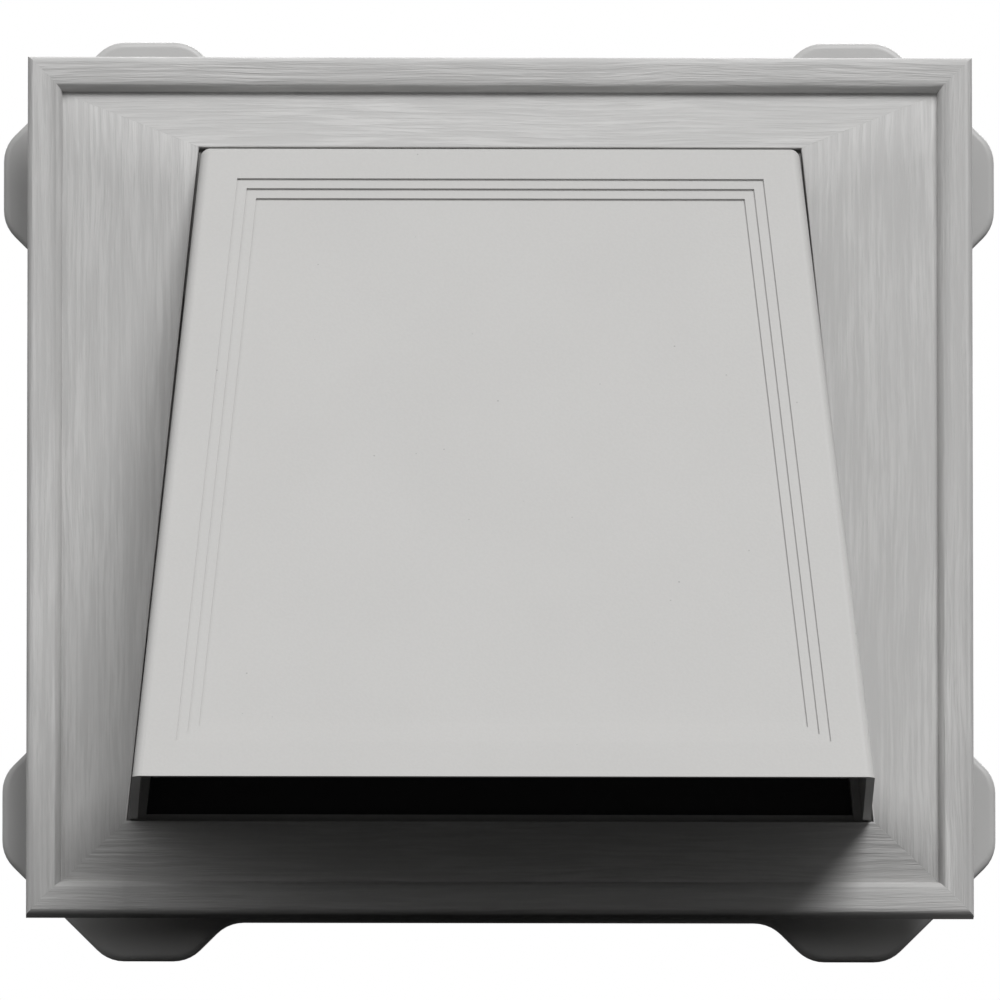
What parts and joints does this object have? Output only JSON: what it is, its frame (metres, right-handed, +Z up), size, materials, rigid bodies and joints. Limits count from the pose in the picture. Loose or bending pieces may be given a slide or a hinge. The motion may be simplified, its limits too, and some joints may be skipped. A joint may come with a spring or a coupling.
{
  "type": "hooded siding vent",
  "caption": "Hooded exhaust vent for lap siding: nailing flange, mitred wood-grain trim ring, sloped hood with a stepped face, duct tail and a hinged flap damper.",
  "frame": {"origin": "on the axis of the duct tail, in the plane of the flange's back face, which lies against the wall sheathing", "axes": "+Z up the wall, +Y into the wall along the duct tail, so that the hood faces -Y; +X to the right when looking at the wall"},
  "size_m": [0.277, 0.1873, 0.2598],
  "materials": {
    "flange_plastic": "smooth moulded",
    "ring_plastic": "wood-grain moulded",
    "hood_plastic": "fine pebbled",
    "black_plastic": "satin moulded",
    "flap_plastic": "satin moulded",
    "foam": "open foam",
    "rod_steel": "drawn",
    "clip_steel": "spring steel",
    "screw_steel": "zinc plated"
  },
  "bodies": {
    "housing": {"base_plate": "flange_plastic", "trim_ring": "ring_plastic", "hood": "hood_plastic", "tail_pipe": "black_plastic", "damper_seal": "foam", "hinge_rod": "rod_steel", "rod_clip": "clip_steel", "hood_screws": "screw_steel"},
    "damper": {"damper_flap": "flap_plastic"}
  },
  "joints": [
    {"name": "damper_swing", "type": "hinge", "parent": "housing", "child": "damper", "pos_m": [0, -0.0226, 0.0798], "axis": [-1, 0, 0], "range_deg": [0, 28]}
  ]
}
